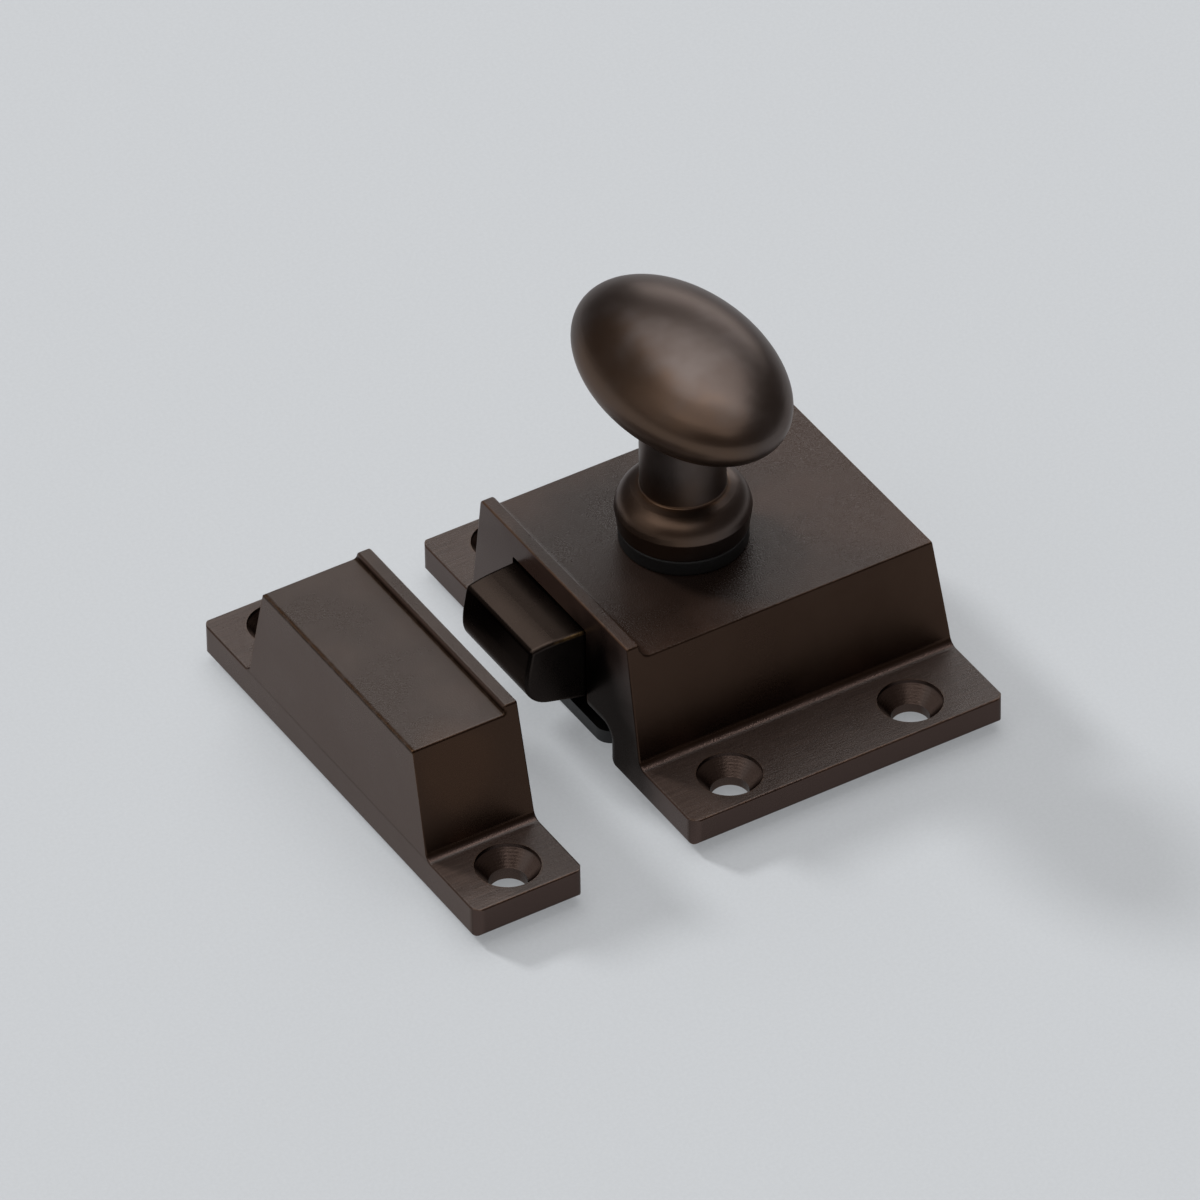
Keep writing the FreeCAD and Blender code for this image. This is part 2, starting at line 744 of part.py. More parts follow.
def make_bolt():
    """The cast bolt: rounded nose, block, and a tail on runners with a window and a slot."""
    body = new_body("latch_bolt", y=size.bolt_side)
    half = size.bolt_half
    nose_half = half - size.nose_taper
    tip = size.bolt_reach + size.nose_bow
    plan = new_sketch(body, "block_outline", lift=size.bolt_bottom)
    corners = [
        (-tip, -nose_half),
        (0, -half),
        (size.block_depth, -half),
        (size.block_depth, half),
        (0, half),
        (-tip, nose_half),
    ]
    add_outline(plan, corners)
    add_pad(body, "block", plan, size.bolt_top - size.bolt_bottom)

    # the nose curves over from the flat top, bows, then turns under in a round heel
    nose = new_sketch(body, "nose_profile", "XZ_Plane")
    corners = [
        (0, size.bolt_top),
        (0, size.bolt_top + 1),
        (-tip - 1, size.bolt_top + 1),
        (-tip - 1, size.bolt_bottom - 1),
        (0, size.bolt_bottom - 1),
        (0, size.bolt_bottom),
        (-tip, size.bolt_bottom + size.heel_rise),
        (-tip, size.bow_height),
        (-size.bolt_reach, size.bolt_top - size.crown_drop),
        (size.crown_length - size.bolt_reach, size.bolt_top),
    ]
    rounds = {6: size.heel_radius, 7: size.bow_radius, 8: size.nose_round, 9: size.crown_radius}
    add_outline(nose, corners, rounds)
    add_pocket(body, "rounded_nose", nose, both_ways=True)

    def nose_flank(box):
        upright = box.YLength < nose_half.value / 2 and box.ZLength > size.heel_rise.value
        return upright and box.XMax < -size.bolt_reach.value / 4

    add_fillet(body, "nose_flanks", size.edge_round, nose_flank)

    # the tail: runners, a web between them and an end wall for the spring
    inner = size.front_wall + size.stop_gap
    channel = size.runner_half - size.runner_thickness
    channel_end = size.tail_end - size.tail_wall
    runners = new_sketch(body, "runner_outlines", lift=runner_bottom)
    add_rectangle(runners, inner, size.tail_end, -size.runner_half, -channel)
    add_rectangle(runners, inner, size.tail_end, channel, size.runner_half)
    add_pad(body, "runners", runners, size.runner_top - runner_bottom)
    web = new_sketch(body, "web_outline", lift=size.web_bottom)
    add_rectangle(web, size.block_depth - size.overlap, size.tail_end, -half, half)
    add_pad(body, "web", web, size.web_top - size.web_bottom)
    sides = new_sketch(body, "side_outlines", lift=runner_bottom)
    add_rectangle(sides, size.block_depth - size.overlap, size.tail_end, -half, -channel)
    add_rectangle(sides, size.block_depth - size.overlap, size.tail_end, channel, half)
    add_pad(body, "sides", sides, size.web_top - runner_bottom)
    wall = new_sketch(body, "wall_outline", lift=runner_bottom)
    add_rectangle(wall, channel_end, size.tail_end, -half, half)
    add_pad(body, "tail_wall", wall, size.web_top - runner_bottom)
    spigot = new_sketch(body, "tail_spigot_circle", "YZ_Plane", size.tail_end)
    add_circle(spigot, 0, size.spring_height, size.spigot_radius)
    add_pad(body, "tail_spigot", spigot, size.spigot_length)

    # the window that the spindle passes through, and the pin's slot beside it
    window = new_sketch(body, "window_outline", lift=size.web_top)
    front = size.knob_x - window_half - size.bolt_travel
    back = size.knob_x + window_half
    low_y = -window_half - size.bolt_side
    high_y = window_half - size.bolt_side
    add_rectangle(window, front, back, low_y, high_y, {i: size.window_round for i in range(4)})
    add_pocket(body, "window", window, size.web_top - size.web_bottom)
    slot = new_sketch(body, "slot_outline", lift=size.web_top)
    slot_half = size.pin_radius + size.slot_gap
    slot_end = size.cam_throw + slot_half - size.bolt_side
    ends = {2: size.pin_radius, 3: size.pin_radius}
    add_rectangle(slot, pin_x - slot_half, pin_x + slot_half, 0, slot_end, ends)
    add_pocket(body, "pin_slot", slot, size.web_top - size.web_bottom)
    return body


def make_spring():
    """The compression spring between the bolt's tail and the back of the case."""
    start = size.tail_end + size.spring_end_gap + size.wire_radius
    body = new_body("bolt_spring", x=start, y=size.bolt_side, z=size.spring_height)
    lying = FreeCAD.Rotation(FreeCAD.Vector(0, 1, 0), 90)
    body.Placement = FreeCAD.Placement(body.Placement.Base, lying)
    wire = new_sketch(body, "wire_circle", "XZ_Plane")
    add_circle(wire, size.coil_radius, 0, size.wire_radius)
    coil = body.newObject("PartDesign::AdditiveHelix", "coil")
    coil.Profile = wire
    coil.ReferenceAxis = (wire, ["V_Axis"])
    coil.Mode = "height-turns-angle"
    room = back_face - size.tail_end - 2 * (size.spring_end_gap + size.wire_radius)
    bind(coil, "Height", room)
    bind(coil, "Turns", size.coil_turns)
    body.Tip = coil
    doc.recompute()
    return body


def make_plate():
    """The steel plate that closes the back, with a tab under the bolt's mouth."""
    body = new_body("cover_plate")
    outline = new_sketch(body, "plate_outline")
    half = cavity_half(size.plate_thickness) - size.plate_gap
    start = size.front_wall + size.plate_gap
    end = back_face - size.plate_gap
    corners = [
        (size.plate_front, -size.tab_half),
        (start, -size.tab_half),
        (start, -half),
        (end, -half),
        (end, half),
        (start, half),
        (start, size.tab_half),
        (size.plate_front, size.tab_half),
    ]
    rounds = {i: size.plate_corner for i in (2, 3, 4, 5)}
    rounds.update({0: size.tab_round, 7: size.tab_round})
    add_outline(outline, corners, rounds)
    add_pad(body, "plate", outline, size.plate_thickness)
    holes = new_sketch(body, "plate_hole_circles", lift=size.plate_thickness)
    add_circle(holes, size.knob_x, 0, size.pivot_radius + size.running_gap)
    for x, y in boss_places:
        add_circle(holes, x, y, size.small_screw + size.fixed_gap)
    add_pocket(body, "plate_holes", holes)

    # each screw hole is countersunk from the outside
    edge = size.small_head + size.fixed_gap
    for number, (x, y) in enumerate(boss_places, start=1):
        cone = body.newObject("PartDesign::SubtractiveCone", f"countersink_{number}")
        bind(cone, "Radius1", edge)
        bind(cone, "Radius2", size.small_screw + size.fixed_gap)
        bind(cone, "Height", size.small_head - size.small_screw)
        bind(cone, "Placement.Base.x", x)
        bind(cone, "Placement.Base.y", y)
        body.Tip = cone
    doc.recompute()
    return body


def make_screws():
    """The four small countersunk screws that hold the plate."""
    x, y = boss_places[0]
    body = new_body("cover_screws", x=x, y=y)
    body.AllowCompound = True
    profile = new_sketch(body, "screw_profile", "XZ_Plane")
    corners = [
        (0, 0),
        (size.small_head, 0),
        (size.small_screw, size.small_head - size.small_screw),
        (size.small_screw, size.small_length),
        (0, size.small_length),
    ]
    add_outline(profile, corners)
    add_turning(body, "screw", profile)
    slot = new_sketch(body, "screw_slot_outline")
    reach = size.small_head + size.overlap
    add_rectangle(slot, -size.slot_width / 2, size.slot_width / 2, -reach, reach)
    add_pocket(body, "screw_slot", slot, size.slot_depth, forwards=True)
    add_copy(body, "second_screw", "X_Axis", rear_boss - front_boss)
    add_copy(body, "other_side", "Y_Axis", boss_side * 2)
    return body


def make_strike():
    """The strike: a smaller box of the same form, open towards the bolt."""
    body = new_body("strike")
    lip = size.strike_plate + size.strike_lip
    add_flanged_block(
        body, strike_outer, size.strike_depth, size.strike_length / 2, size.strike_flange,
        size.strike_half_foot, size.strike_half_lip, lip,
    )
    over = lip + 1
    beyond = strike_outer - 1
    foot = strike_inner - size.strike_lip_width
    top = new_sketch(body, "lowered_top_profile", "XZ_Plane")
    add_rectangle(top, beyond, foot, size.strike_plate, over, {1: size.strike_cove})
    add_pocket(body, "lowered_top", top, both_ways=True)
    lean = new_sketch(body, "leaning_face_profile", "XZ_Plane")
    corners = [
        (strike_outer, size.strike_flange),
        (strike_outer + size.strike_lean, over),
        (beyond, over),
        (beyond, size.strike_flange),
    ]
    add_outline(lean, corners)
    add_pocket(body, "leaning_face", lean, both_ways=True)
    soften_plate(body, foot, size.strike_plate, lip, size.strike_plate_edge)

    # the mouth that the bolt shoots into
    roof = size.strike_plate - size.strike_wall
    mouth = new_sketch(body, "strike_mouth_profile", "YZ_Plane", strike_inner)
    corners = [
        (-strike_cavity_half(0), 0),
        (strike_cavity_half(0), 0),
        (strike_cavity_half(roof), roof),
        (-strike_cavity_half(roof), roof),
    ]
    add_outline(mouth, corners, {2: size.cavity_round, 3: size.cavity_round})
    add_pocket(body, "strike_mouth", mouth, size.strike_depth - size.strike_back_wall)
    hole_x = strike_outer + size.strike_hole_inset
    side = size.strike_length / 2 - size.strike_hole_end
    places = [(hole_x, -side), (hole_x, side)]
    add_screw_holes(body, "strike_screw_holes", places, size.strike_flange)
    return body


pieces = [
    make_case(),
    make_knob(),
    make_washer(),
    make_spindle(),
    make_cam(),
    make_pin(),
    make_nut(),
    make_bolt(),
    make_spring(),
    make_plate(),
    make_screws(),
    make_strike(),
]
doc.recompute()

for item in doc.Objects:
    if "Invalid" in item.State or "Error" in item.State:
        raise RuntimeError(f"{item.Label} failed: {item.State}")
for piece in pieces:
    if piece.Shape.isNull() or not piece.Shape.isValid():
        raise RuntimeError(f"{piece.Label} has no valid shape")

os.makedirs("parts", exist_ok=True)
for piece in pieces:
    piece.Shape.exportStep(f"parts/{piece.Label}.step")
    print(piece.Label, len(piece.Shape.Solids), "solid", round(piece.Shape.Volume, 1), "mm3")
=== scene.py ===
import math
import bmesh
import bpy
from mathutils import Matrix, Vector


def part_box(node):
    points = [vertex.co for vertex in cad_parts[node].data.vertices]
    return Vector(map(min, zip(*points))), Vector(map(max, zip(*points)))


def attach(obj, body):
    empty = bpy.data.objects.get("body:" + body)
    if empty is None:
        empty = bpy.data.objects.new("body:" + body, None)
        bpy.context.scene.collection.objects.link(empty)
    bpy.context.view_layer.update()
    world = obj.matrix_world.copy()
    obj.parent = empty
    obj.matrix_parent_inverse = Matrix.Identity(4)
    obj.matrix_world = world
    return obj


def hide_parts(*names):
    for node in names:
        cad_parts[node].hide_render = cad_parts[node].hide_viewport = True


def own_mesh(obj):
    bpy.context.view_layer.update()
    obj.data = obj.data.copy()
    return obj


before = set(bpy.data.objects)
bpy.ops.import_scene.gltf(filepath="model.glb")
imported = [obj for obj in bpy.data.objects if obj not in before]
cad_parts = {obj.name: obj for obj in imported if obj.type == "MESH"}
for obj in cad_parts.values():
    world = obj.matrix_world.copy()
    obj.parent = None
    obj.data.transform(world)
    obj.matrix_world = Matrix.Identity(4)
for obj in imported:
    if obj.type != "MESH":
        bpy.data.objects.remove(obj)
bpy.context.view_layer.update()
scene = bpy.context.scene
scene.view_settings.view_transform = "Standard"
mm = 0.001


# small helpers for the node trees

def addNode(tree, kind, values=None, **settings):
    fresh = tree.nodes.new("ShaderNode" + kind)
    for name, value in settings.items():
        setattr(fresh, name, value)
    for name, value in (values or {}).items():
        socket = fresh.inputs[name]
        if isinstance(value, bpy.types.NodeSocket):
            tree.links.new(value, socket)
        else:
            socket.default_value = value
    return fresh


def calc(tree, operation, first, second=0.0, third=0.0):
    return addNode(tree, "Math", {0: first, 1: second, 2: third}, operation=operation).outputs[0]


def fade(tree, value, low, high, start=0.0, end=1.0):
    # a soft step: start below low, end above high
    values = {"Value": value, "From Min": low, "From Max": high, "To Min": start, "To Max": end}
    return addNode(tree, "MapRange", values, interpolation_type="SMOOTHSTEP").outputs[0]


# the Mix node has its two numbers in sockets 2 and 3, its two colours in 6 and 7

def mixColours(tree, amount, first, second):
    return addNode(tree, "Mix", {0: amount, 6: first, 7: second}, data_type="RGBA").outputs[2]


def mixNumbers(tree, amount, first, second):
    return addNode(tree, "Mix", {0: amount, 2: first, 3: second}).outputs[0]


def distance(tree, across, along):
    squares = calc(tree, "MULTIPLY_ADD", across, across, calc(tree, "MULTIPLY", along, along))
    return calc(tree, "SQRT", squares)


def noise(tree, place, scale, detail=2.0, rough=0.5, stretch=None):
    if stretch:
        place = addNode(tree, "VectorMath", {0: place, 1: stretch}, operation="MULTIPLY").outputs[0]
    values = {"Vector": place, "Scale": scale, "Detail": detail, "Roughness": rough}
    return addNode(tree, "TexNoise", values).outputs[0]


def rgb(colour):
    return (*colour, 1.0)


def millimetres(tree):
    place = addNode(tree, "TexCoord").outputs["Object"]
    return addNode(tree, "VectorMath", {0: place, "Scale": 1 / mm}, operation="SCALE").outputs[0]


def newMaterial(name):
    material = bpy.data.materials.new(name)
    material.use_nodes = True
    tree = material.node_tree
    tree.nodes.clear()
    surface = addNode(tree, "BsdfPrincipled")
    output = addNode(tree, "OutputMaterial")
    tree.links.new(surface.outputs[0], output.inputs["Surface"])
    return material, tree, surface


def convexEdges(tree, reach):
    # rays sent inwards meet the next face only near an outer edge
    values = {"Distance": reach * mm}
    inside = addNode(tree, "AmbientOcclusion", values, samples=8, inside=True, only_local=True)
    return calc(tree, "SUBTRACT", 1.0, inside.outputs["AO"])


def dress(name, material):
    part = bpy.data.objects[name]
    part.data.materials.clear()
    part.data.materials.append(material)


# castings: dark bronze patina under a satin lacquer, rubbed brown along some edges, with painted
# shade, painted reflections and a painted lighter top in places

# how far a face has to turn towards an axis: where it begins to count, and where it counts in full
squarely = (0.75, 0.95)
partly = (0.2, 0.5)
lineCore = 0.4  # the share of a line's reach that has its full strength
patchCore = 0.3  # the same for a patch


def lineMask(tree, first, second, line):
    # soft line round a point of a profile, drawn out along the third axis
    firstPlace, secondPlace, reach, strength = line
    across = calc(tree, "SUBTRACT", first, firstPlace)
    along = calc(tree, "SUBTRACT", second, secondPlace)
    away = distance(tree, across, along)
    return calc(tree, "MULTIPLY", fade(tree, away, reach, reach * lineCore), strength)


def patch(tree, at, spot):
    # soft blot with a cloudy outline
    middle, reach, strength = spot
    values = {0: at["place"], 1: middle}
    away = addNode(tree, "VectorMath", values, operation="DISTANCE").outputs["Value"]
    away = calc(tree, "MULTIPLY_ADD", calc(tree, "SUBTRACT", at["cloud"], 0.5), reach, away)
    return calc(tree, "MULTIPLY", fade(tree, away, reach, reach * patchCore), strength)


def castMasks(tree, look):
    # places in millimetres, which way each face looks, and the noises that all steps share
    place = millimetres(tree)
    x, y, z = addNode(tree, "SeparateXYZ", {0: place}).outputs
    normal = addNode(tree, "NewGeometry").outputs["Normal"]
    facing = addNode(tree, "SeparateXYZ", {0: normal}).outputs
    cloud = noise(tree, place, look["cloudScale"], 3.0, 0.6)
    return {
        "place": place,
        "x": x,
        "y": y,
        "z": z,
        "side": calc(tree, "ABSOLUTE", y) if look["bothEnds"] else y,
        "up": facing[2],
        "flat": fade(tree, facing[2], *squarely),
        "ends": fade(tree, calc(tree, "ABSOLUTE", facing[1]), *partly),
        "fronts": fade(tree, calc(tree, "ABSOLUTE", facing[0]), *squarely),
        "cloud": cloud,
        "brownArea": fade(tree, cloud, 0.42, 0.68),
        "fine": noise(tree, place, look["speckleScale"], 2.0, 0.7),
        "broken": noise(tree, place, look["brokenScale"], 4.0, 0.65),
    }


def flangedParts(tree, look, at, colour, metal, height):
    # browner fronts, matt end walls, brushed flanges and turned countersinks
    colour = mixColours(tree, at["fronts"], colour, rgb(look["front"]))
    metal = mixNumbers(tree, at["fronts"], metal, look["frontMetal"])
    walls = mixColours(tree, at["brownArea"], rgb(look["endDark"]), rgb(look["endBrown"]))
    colour = mixColours(tree, at["ends"], colour, walls)
    metal = mixNumbers(tree, at["ends"], metal, 1.0)
    low = fade(tree, at["z"], look["flange"] + 0.5, look["flange"] + 0.1)
    brushed = calc(tree, "MULTIPLY", low, calc(tree, "MAXIMUM", at["flat"], at["ends"]))
    streaks = noise(tree, at["place"], look["streakScale"], 3.0, 0.7, look["streakStretch"])
    depth = fade(tree, streaks, 0.3, 0.7)
    bare = mixColours(tree, depth, rgb(look["brushedDark"]), rgb(look["brushedLight"]))
    bare = mixColours(tree, at["ends"], bare, rgb(look["flangeEnd"]))
    colour = mixColours(tree, brushed, colour, bare)
    lines = calc(tree, "MULTIPLY", streaks, calc(tree, "MULTIPLY", brushed, look["brushHeight"]))
    height = calc(tree, "ADD", height, lines)
    for middle, out, radius in look["sinks"]:
        across = calc(tree, "SUBTRACT", at["x"], middle)
        along = calc(tree, "SUBTRACT", at["side"], out)
        away = distance(tree, across, along)
        inside = fade(tree, away, radius, radius - look["sinkRim"])
        inside = calc(tree, "MULTIPLY", inside, low)
        colour = mixColours(tree, inside, colour, rgb(look["turned"]))
        ridges = calc(tree, "SINE", calc(tree, "MULTIPLY", away, look["ridges"]))
        depth = calc(tree, "MULTIPLY", inside, look["turnedHeight"])
        height = calc(tree, "MULTIPLY_ADD", ridges, depth, height)
    return colour, metal, height


def patchedParts(tree, look, at, colour, metal):
    # warm patches: real mottled patina on the strike's near wall, a painted reflection on the knob
    for spot in look["brownPatchesAndReflections"]:
        colour = mixColours(tree, patch(tree, at, spot), colour, rgb(look["warmPatinaAndReflection"]))
    # painted shade on faces that look up: darker patches standing in for the shadow and reflection
    # of a nearby part
    for spot in look["paintedTopShadeSpots"]:
        area = calc(tree, "MULTIPLY", at["flat"], patch(tree, at, spot))
        colour = mixColours(tree, area, colour, rgb(look["paintedTopShade"]))
    # painted shade on faces that look along X: near-black metal patches standing in for shadow and
    # reflection
    for spot in look["paintedFrontShadeSpots"]:
        area = calc(tree, "MULTIPLY", at["fronts"], patch(tree, at, spot))
        colour = mixColours(tree, area, colour, rgb(look["paintedFrontShade"]))
        metal = mixNumbers(tree, area, metal, 1.0)
    return colour, metal


def seamMask(tree, look, at):
    seam = 0.0
    for line in look["seams"]:
        seam = calc(tree, "MAXIMUM", seam, lineMask(tree, at["x"], at["z"], line))
    return calc(tree, "MULTIPLY", seam, fade(tree, at["broken"], 0.3, 0.6, 0.6, 1.0))


def wornMask(tree, look, at):
    worn = 0.0
    for line in look["linesAlongY"]:
        worn = calc(tree, "MAXIMUM", worn, lineMask(tree, at["x"], at["z"], line))
    for line in look["linesAlongX"]:
        worn = calc(tree, "MAXIMUM", worn, lineMask(tree, at["side"], at["z"], line))
    for middle, *line in look["rings"]:
        outwards = distance(tree, calc(tree, "SUBTRACT", at["x"], middle), at["y"])
        worn = calc(tree, "MAXIMUM", worn, lineMask(tree, outwards, at["z"], line))
    if look["edgeWear"] > 0:
        edge = convexEdges(tree, look["edgeReach"])
        edge = calc(tree, "MULTIPLY_ADD", at["broken"], 0.25, edge)
        edge = calc(tree, "MULTIPLY", fade(tree, edge, 0.42, 0.62), look["edgeWear"])
        worn = calc(tree, "MAXIMUM", worn, edge)
    return calc(tree, "MULTIPLY", worn, fade(tree, at["broken"], 0.35, 0.6, 0.2, 1.0))


def bronzeFinish(name, look):
    material, tree, surface = newMaterial(name)
    at = castMasks(tree, look)
    colour = mixColours(tree, at["brownArea"], rgb(look["dark"]), rgb(look["brown"]))
    metal = look["metal"]
    height = calc(tree, "MULTIPLY", at["fine"], look["grainHeight"])
    grain = fade(tree, at["up"], 0.5, 0.95, look["wallGrain"], 1.0)
    height = calc(tree, "MULTIPLY", height, grain)

    # painted light: faces that look up are painted a lighter colour, which fades in as a face turns
    # upwards
    if look["paintedLitTop"]:
        colour = mixColours(tree, fade(tree, at["up"], 0.1, 0.9), colour, rgb(look["paintedLitTop"]))
    if look["flange"]:
        colour, metal, height = flangedParts(tree, look, at, colour, metal, height)
    colour, metal = patchedParts(tree, look, at, colour, metal)
    seam = seamMask(tree, look, at)
    colour = mixColours(tree, seam, colour, rgb(look["seamBrown"]))
    metal = mixNumbers(tree, seam, metal, 1.0)
    worn = wornMask(tree, look, at)
    colour = mixColours(tree, worn, colour, rgb(look["rubbed"]))
    tree.links.new(colour, surface.inputs["Base Color"])
    tree.links.new(mixNumbers(tree, worn, metal, 1.0), surface.inputs["Metallic"])

    rough = mixNumbers(tree, fade(tree, at["cloud"], 0.3, 0.7), look["smooth"], look["coarse"])
    speckle = calc(tree, "SUBTRACT", at["fine"], 0.5)
    rough = calc(tree, "MULTIPLY_ADD", speckle, look["speckle"], rough)
    tree.links.new(rough, surface.inputs["Roughness"])
    bump = addNode(tree, "Bump", {"Height": height, "Distance": mm, "Strength": 1.0})
    tree.links.new(bump.outputs[0], surface.inputs["Normal"])
    surface.inputs["Specular IOR Level"].default_value = look["shine"]
    surface.inputs["Specular Tint"].default_value = rgb(look["tint"])
    return material


# all places and lengths are in millimetres
# a line: its two places in the profile, reach, strength; a ring has its middle's x before them
# a spot: middle, reach, strength; a sink: its x, its distance from the middle in y, radius
caseLook = {
    "dark": (0.032, 0.0175, 0.012),
    "brown": (0.04, 0.022, 0.0155),
    "paintedLitTop": None,  # colour of the faces that look up, where it differs
    "front": (0.055, 0.032, 0.025),
    "frontMetal": 0.4,
    "endDark": (0.048, 0.0285, 0.02),
    "endBrown": (0.056, 0.034, 0.024),
    "brushedDark": (0.032, 0.021, 0.017),
    "brushedLight": (0.055, 0.037, 0.03),
    "flangeEnd": (0.085, 0.058, 0.05),
    "turned": (0.095, 0.066, 0.055),
    "turnedHeight": 0.0015,
    "ridges": 28.0,  # turning marks in a countersink, in radians per millimetre
    "sinkRim": 0.15,
    "rubbed": (0.14, 0.075, 0.04),
    "cloudScale": 0.09,
    "speckleScale": 5.0,
    "brokenScale": 0.9,
    "streakScale": 6.0,
    "streakStretch": (0.035, 1.0, 1.0),
    "metal": 0.1,
    "smooth": 0.27,
    "coarse": 0.35,
    "speckle": 0.16,
    "shine": 0.6,
    "tint": (0.6, 0.585, 0.575),
    "edgeReach": 0.5,
    "edgeWear": 0.25,
    "linesAlongY": [(-17.2, 16.3, 0.25, 0.35)],
    "linesAlongX": [(25.4, 3.0, 0.25, 0.3)],
    "seams": [],
    "seamBrown": (0.03, 0.016, 0.0085),
    "bothEnds": True,  # lines along X and sinks are mirrored in y
    "rings": [],
    "brownPatchesAndReflections": [],
    "warmPatinaAndReflection": (0.14, 0.09, 0.065),
    # painted shade: a darker patch on the top plate in front of the knob, standing in for the
    # knob's shadow and its reflection in the plate
    "paintedTopShadeSpots": [((-8.0, 1.0, 14.8), 20.0, 0.9)],
    "paintedTopShade": (0.014, 0.0085, 0.0065),
    # painted shade: a near-black patch low on the front face beside the bolt, standing in for the
    # bolt's shadow and its reflection there
    "paintedFrontShadeSpots": [((-17.2, -9.0, 6.0), 13.0, 1.0)],
    "paintedFrontShade": (0.012, 0.009, 0.008),
    "grainHeight": 0.045,
    "wallGrain": 0.2,  # share of the cast grain that upright faces show
    "flange": 3.0,  # top of the flanges, or 0 for a piece that has none
    "brushHeight": 0.012,
    "sinks": [(-10.3, 21.0, 3.3), (10.3, 21.0, 3.3)],
}
strikeLook = dict(
    caseLook,
    shine=0.76,
    grainHeight=0.018,
    front=(0.068, 0.042, 0.032),
    frontMetal=0.5,
    warmPatinaAndReflection=(0.08, 0.043, 0.026),
    brownPatchesAndReflections=[((-37.0, -15.2, 11.5), 6.0, 0.3)],
    paintedTopShadeSpots=[],
    paintedFrontShadeSpots=[],
    flange=3.3,
    sinks=[(-35.55, 21.45, 3.3)],
    dark=(0.026, 0.016, 0.0118),
    brown=(0.034, 0.0205, 0.015),
    linesAlongY=[],
    linesAlongX=[(25.8, 3.3, 0.25, 0.3)],
    seams=[
        (-41.45, 14.8, 0.45, 0.95),
        (-31.1, 14.95, 0.4, 0.75),
        (-41.8, 3.3, 0.2, 0.25),
    ],
)
knobLook = dict(
    caseLook,
    dark=(0.084, 0.065, 0.057),
    brown=(0.108, 0.088, 0.08),
    tint=(0.8, 0.77, 0.76),
    warmPatinaAndReflection=(0.115, 0.072, 0.048),
    paintedTopShadeSpots=[],
    paintedFrontShadeSpots=[],
    metal=1.0,
    smooth=0.32,
    coarse=0.38,
    speckle=0.05,
    edgeWear=0.0,
    flange=0.0,
    grainHeight=0.002,
    wallGrain=1.0,
    cloudScale=0.12,
    linesAlongY=[],
    linesAlongX=[],
    rings=[(-2.4, 4.45, 21.5, 0.4, 0.5)],
    # painted reflection: warm brown patches on the left of the knob head and of the collar, where a
    # lit brown reflection shows
    brownPatchesAndReflections=[
        ((-10.6, 2.5, 36.5), 8.0, 0.8),
        ((-10.3, -5.0, 35.5), 8.0, 0.8),
        ((-6.5, -11.5, 34.5), 6.0, 0.7),
        ((-7.5, -3.5, 19.5), 7.0, 0.8),
    ],
)
boltLook = dict(
    caseLook,
    dark=(0.024, 0.019, 0.017),
    brown=(0.034, 0.027, 0.024),
    # painted light: the bolt's top is painted a lighter brown than its sides
    paintedLitTop=(0.034, 0.025, 0.0205),
    rubbed=(0.25, 0.16, 0.07),
    tint=(0.5, 0.48, 0.47),
    paintedTopShadeSpots=[],
    paintedFrontShadeSpots=[],
    metal=1.0,
    smooth=0.24,
    coarse=0.3,
    speckle=0.05,
    edgeWear=0.4,
    flange=0.0,
    grainHeight=0.003,
    linesAlongY=[],
    bothEnds=False,
    # a bright brass line on the bolt's near top edge only: partly worn brass, partly a painted
    # glint
    linesAlongX=[(-5.6, 12.95, 0.28, 0.9)],
)

dress("latch_case", bronzeFinish("caseBronze", caseLook))
dress("strike", bronzeFinish("strikeBronze", strikeLook))
dress("turn_knob", bronzeFinish("knobBronze", knobLook))
dress("latch_bolt", bronzeFinish("boltBronze", boltLook))
print("castings finished")


# steel and black parts

steelLook = {
    "colour": (0.42, 0.42, 0.43),
    "shade": (0.336, 0.336, 0.344),
    "smooth": 0.28,
    "coarse": 0.42,
    "lineScale": 8.0,
    "lineStretch": (1.0, 1.0, 0.15),
}


def steelFinish(name, look):
    material, tree, surface = newMaterial(name)
    place = millimetres(tree)
    lines = noise(tree, place, look["lineScale"], 3.0, 0.6, look["lineStretch"])
    colour = mixColours(tree, lines, rgb(look["colour"]), rgb(look["shade"]))
    rough = mixNumbers(tree, lines, look["smooth"], look["coarse"])
    tree.links.new(colour, surface.inputs["Base Color"])
    tree.links.new(rough, surface.inputs["Roughness"])
    surface.inputs["Metallic"].default_value = 1.0
    return material


steel = steelFinish("turnedSteel", steelLook)
for name in ("spindle", "retractor_cam", "drive_pin", "cam_nut"):
    dress(name, steel)

blackLook = {
    "colour": (0.006, 0.006, 0.006),
    "chipped": (0.05, 0.045, 0.04),
    "smooth": 0.42,
    "coarse": 0.6,
    "grainScale": 2.5,
    "grainHeight": 0.02,
}


def blackFinish(name, look):
    material, tree, surface = newMaterial(name)
    place = millimetres(tree)
    fine = noise(tree, place, look["grainScale"], 4.0, 0.7)
    chips = fade(tree, fine, 0.68, 0.74)
    colour = mixColours(tree, chips, rgb(look["colour"]), rgb(look["chipped"]))
    rough = mixNumbers(tree, fine, look["smooth"], look["coarse"])
    tree.links.new(colour, surface.inputs["Base Color"])
    tree.links.new(rough, surface.inputs["Roughness"])
    depth = look["grainHeight"] * mm
    bump = addNode(tree, "Bump", {"Height": fine, "Distance": depth, "Strength": 1.0})
    tree.links.new(bump.outputs[0], surface.inputs["Normal"])
    return material


black = blackFinish("blackenedSteel", blackLook)
for name in ("knob_washer", "cover_plate", "cover_screws"):
    dress(name, black)
print("steel and black parts finished")


# the spring: an open coil of even pitch that fills its place in the case, squeezed by the bolt

springLook = {
    "wire": 0.35,
    "coil": 2.55,
    "turns": 7.0,
    "steps": 40,
    "around": 12,
}


